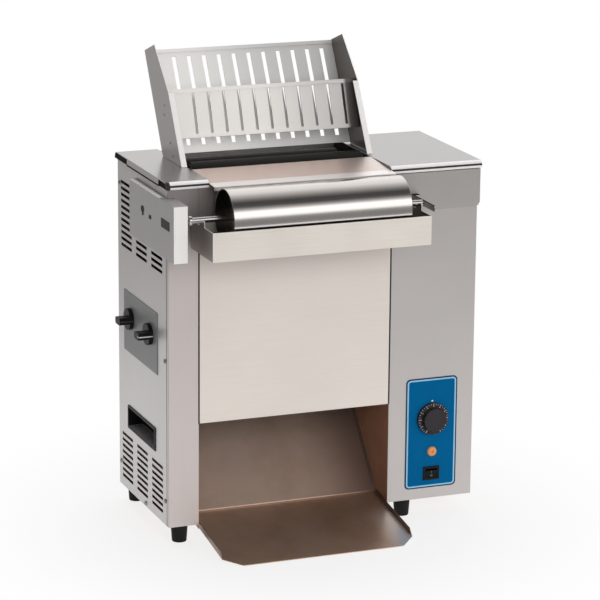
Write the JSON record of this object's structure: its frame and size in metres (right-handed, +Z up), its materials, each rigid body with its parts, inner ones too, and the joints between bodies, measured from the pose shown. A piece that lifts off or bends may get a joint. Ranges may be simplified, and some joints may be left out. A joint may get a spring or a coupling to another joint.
{
  "type": "vertical bun toaster",
  "caption": "Counter-top vertical bun toaster in brushed steel: leaning feeder on top, hot platen between belt conveyors, butter roller in a front pan, sloping landing tray and control panel.",
  "frame": {"origin": "on the counter, below the middle of the whole object's box", "axes": "+Z up, -Y to the front where buns come out, +X to the operator's right"},
  "size_m": [0.582, 0.436, 0.8008],
  "materials": {
    "brushed_steel": "satin brushed stainless sheet",
    "inner_steel": "darker warm-toned stainless sheet",
    "polished_steel": "turned and polished steel",
    "knob_plate": "dark grey textured plate",
    "black_plastic": "black moulded plastic",
    "rubber_feet": "black rubber",
    "control_overlay": "blue printed overlay",
    "lamp_lens": "orange translucent lens",
    "platen": "cast plate, heat stained",
    "element_sheath": "dark sheath",
    "conveyor_roller": "turned",
    "belt": "dark coated fabric belt",
    "gear_steel": "machined",
    "bearing_bronze": "sintered bronze",
    "motor_paint": "dark grey paint",
    "pale_plastic": "cream moulding"
  },
  "bodies": {
    "root": {"back_panel": "brushed_steel", "left_side_panel": "brushed_steel", "right_side_panel": "brushed_steel", "left_front_post": "brushed_steel", "right_front_panel": "brushed_steel", "right_band": "brushed_steel", "front_header": "brushed_steel", "left_top_cover": "brushed_steel", "right_top_cover": "brushed_steel", "centre_top_plate": "brushed_steel", "left_roller_bracket": "brushed_steel", "right_roller_bracket": "brushed_steel", "base_pan": "inner_steel", "left_inner_wall": "inner_steel", "right_inner_wall": "inner_steel", "discharge_chute": "inner_steel", "platen_standoffs": "inner_steel", "panel_screws": "polished_steel", "knob_plate": "knob_plate", "handle_pockets": "black_plastic", "switch_housing": "black_plastic", "cord_gland": "black_plastic", "fan_frame": "black_plastic", "feet": "rubber_feet", "control_overlay": "control_overlay", "pilot_lamp": "lamp_lens", "platen": "platen", "heating_elements": "element_sheath", "shaft_bearings": "bearing_bronze", "gearmotor": "motor_paint", "thermostat_body": "pale_plastic", "terminal_block": "pale_plastic"},
    "front_drive": {"front_drive_roller": "conveyor_roller", "front_drive_gear": "gear_steel"},
    "front_idler": {"front_idler_gear": "gear_steel"},
    "rear_idler": {"rear_idler_gear": "gear_steel"},
    "rear_drive": {"rear_drive_roller": "conveyor_roller", "rear_drive_gear": "gear_steel"},
    "motor_output": {"motor_pinion": "gear_steel"},
    "front_conveyor": {"front_belt": "belt", "front_conveyor_frame": "inner_steel"},
    "rear_conveyor": {"rear_belt": "belt", "rear_conveyor_frame": "inner_steel"},
    "front_top": {"front_top_roller": "conveyor_roller"},
    "rear_top": {"rear_top_roller": "conveyor_roller"},
    "front_control": {"front_knob": "black_plastic", "front_cam_spindle": "polished_steel"},
    "rear_control": {"rear_knob": "black_plastic", "rear_cam_spindle": "polished_steel"},
    "dial": {"thermostat_dial": "black_plastic"},
    "rocker": {"switch_rocker": "black_plastic"},
    "fan": {"fan_rotor": "black_plastic"},
    "cover": {"front_cover": "brushed_steel"},
    "tray": {"landing_tray": "inner_steel"},
    "feeder": {"feeder_side_plates": "brushed_steel", "feeder_back_plate": "brushed_steel", "feeder_divider": "brushed_steel"},
    "butter_tray": {"butter_pan": "brushed_steel"},
    "butter_wheel": {"butter_roller": "polished_steel", "roller_shaft": "polished_steel"}
  },
  "joints": [
    {"name": "front_drive_spin", "type": "hinge", "parent": "root", "child": "front_drive", "pos_m": [0, 0.031, 0.3], "axis": [1, 0, 0], "continuous": true},
    {"name": "front_idler_spin", "type": "hinge", "parent": "root", "child": "front_idler", "pos_m": [0, 0.06767, 0.3], "axis": [1, 0, 0], "continuous": true},
    {"name": "rear_idler_spin", "type": "hinge", "parent": "root", "child": "rear_idler", "pos_m": [0, 0.10433, 0.3], "axis": [1, 0, 0], "continuous": true},
    {"name": "rear_drive_spin", "type": "hinge", "parent": "root", "child": "rear_drive", "pos_m": [0, 0.141, 0.3], "axis": [1, 0, 0], "continuous": true},
    {"name": "motor_spin", "type": "hinge", "parent": "root", "child": "motor_output", "pos_m": [0, 0.031, 0.26537], "axis": [1, 0, 0], "continuous": true},
    {"name": "front_conveyor_tilt", "type": "hinge", "parent": "root", "child": "front_conveyor", "pos_m": [0, 0.031, 0.3], "axis": [-1, 0, 0], "range_deg": [0, 1.2]},
    {"name": "rear_conveyor_tilt", "type": "hinge", "parent": "root", "child": "rear_conveyor", "pos_m": [0, 0.141, 0.3], "axis": [-1, 0, 0], "range_deg": [0, 1.2]},
    {"name": "front_top_spin", "type": "hinge", "parent": "front_conveyor", "child": "front_top", "pos_m": [0, 0.031, 0.603], "axis": [1, 0, 0], "continuous": true},
    {"name": "rear_top_spin", "type": "hinge", "parent": "rear_conveyor", "child": "rear_top", "pos_m": [0, 0.141, 0.586], "axis": [1, 0, 0], "continuous": true},
    {"name": "front_knob_turn", "type": "hinge", "parent": "root", "child": "front_control", "pos_m": [-0.264, 0.0147, 0.342], "axis": [-1, 0, 0], "range_deg": [0, 120]},
    {"name": "rear_knob_turn", "type": "hinge", "parent": "root", "child": "rear_control", "pos_m": [-0.264, 0.1167, 0.342], "axis": [-1, 0, 0], "range_deg": [0, 120]},
    {"name": "thermostat_turn", "type": "hinge", "parent": "root", "child": "dial", "pos_m": [0.2105, -0.077, 0.173], "axis": [0, 1, 0], "range_deg": [0, 300]},
    {"name": "rocker_tilt", "type": "hinge", "parent": "root", "child": "rocker", "pos_m": [0.2105, -0.073, 0.075], "axis": [-1, 0, 0], "range_deg": [0, 16]},
    {"name": "fan_spin", "type": "hinge", "parent": "root", "child": "fan", "pos_m": [0.20875, 0.173, 0.43], "axis": [0, 1, 0], "continuous": true},
    {"name": "front_cover_slide", "type": "slide", "parent": "root", "child": "cover", "axis": [0, -1, 0], "range_m": [0, 0.16]},
    {"name": "landing_tray_slide", "type": "slide", "parent": "root", "child": "tray", "axis": [0, -1, 0], "range_m": [0, 0.24]},
    {"name": "feeder_lift", "type": "slide", "parent": "root", "child": "feeder", "axis": [0, 0, 1], "range_m": [0, 0.15]},
    {"name": "butter_pan_slide", "type": "slide", "parent": "root", "child": "butter_tray", "axis": [0, -1, 0], "range_m": [0, 0.13]},
    {"name": "butter_roller_spin", "type": "hinge", "parent": "butter_tray", "child": "butter_wheel", "pos_m": [0, -0.136, 0.5667], "axis": [1, 0, 0], "continuous": true}
  ],
  "couplings": [
    {"joint": "front_idler_spin", "follows": "front_drive_spin", "ratio": -1},
    {"joint": "rear_idler_spin", "follows": "front_drive_spin", "ratio": 1},
    {"joint": "rear_drive_spin", "follows": "front_drive_spin", "ratio": -1},
    {"joint": "motor_spin", "follows": "front_drive_spin", "ratio": -1.125},
    {"joint": "front_top_spin", "follows": "front_drive_spin", "ratio": 1},
    {"joint": "rear_top_spin", "follows": "front_drive_spin", "ratio": -1},
    {"joint": "front_knob_turn", "follows": "front_conveyor_tilt", "ratio": 100},
    {"joint": "rear_knob_turn", "follows": "rear_conveyor_tilt", "ratio": 100}
  ]
}
